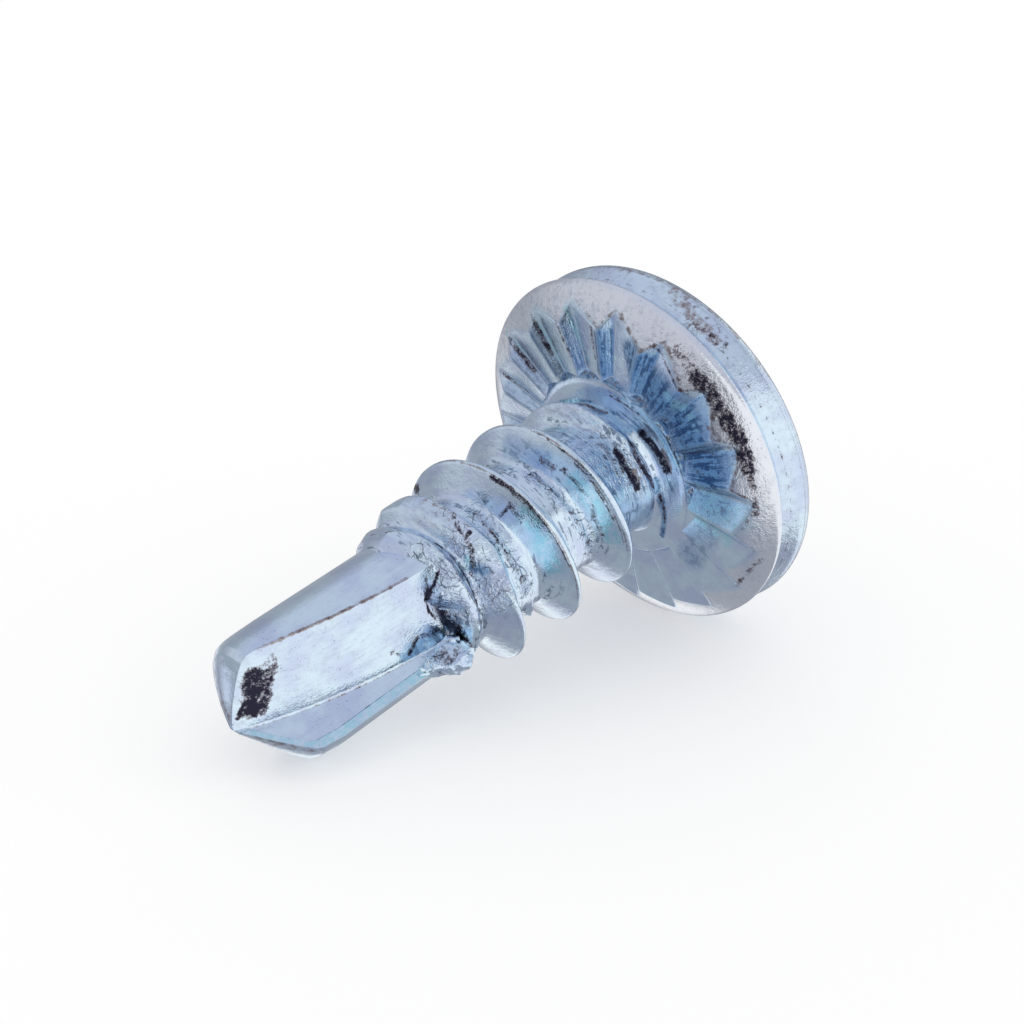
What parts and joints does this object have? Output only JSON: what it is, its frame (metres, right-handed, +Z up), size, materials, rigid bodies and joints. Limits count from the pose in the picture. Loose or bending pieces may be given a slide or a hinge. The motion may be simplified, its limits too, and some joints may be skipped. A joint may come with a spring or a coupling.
{
  "type": "self drilling screw",
  "caption": "Short self-drilling framing screw with a serrated pan head, coarse thread and pinched drill point.",
  "frame": {"origin": "centre of the bottom of the bounding box, on the table that the screw lies on", "axes": "+X from the head towards the drill point along the screw as it lies, +Z up"},
  "size_m": [0.0108, 0.007, 0.0068],
  "materials": {
    "zinc": "bright clear-passivated zinc plating on rolled and pinched steel, a little blue, with worn and smudged patches"
  },
  "bodies": {
    "root": {"screw": "zinc"}
  },
  "joints": []
}
